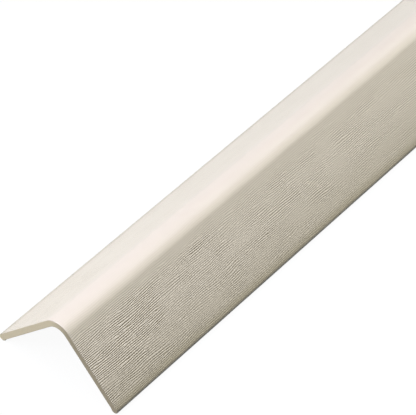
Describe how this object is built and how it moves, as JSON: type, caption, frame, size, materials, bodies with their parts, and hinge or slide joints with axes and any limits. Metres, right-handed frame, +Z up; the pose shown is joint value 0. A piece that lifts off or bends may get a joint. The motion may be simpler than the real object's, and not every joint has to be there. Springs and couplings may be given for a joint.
{
  "type": "stair nosing trim",
  "caption": "Plastic angle trim with a rounded nose and wood-grain faces that covers the front edge of a step.",
  "frame": {"origin": "on the floor, in the middle of the footprint", "axes": "+X along the length, +Z up through the nose, the front flange faces -Y and the back flange +Y"},
  "size_m": [1, 0.0408, 0.0202],
  "materials": {
    "trim_plastic": "ivory rigid PVC with a satin sheen, fine wood-grain emboss on the outer faces, smooth inside"
  },
  "bodies": {
    "root": {"nosing_trim": "trim_plastic"}
  },
  "joints": []
}
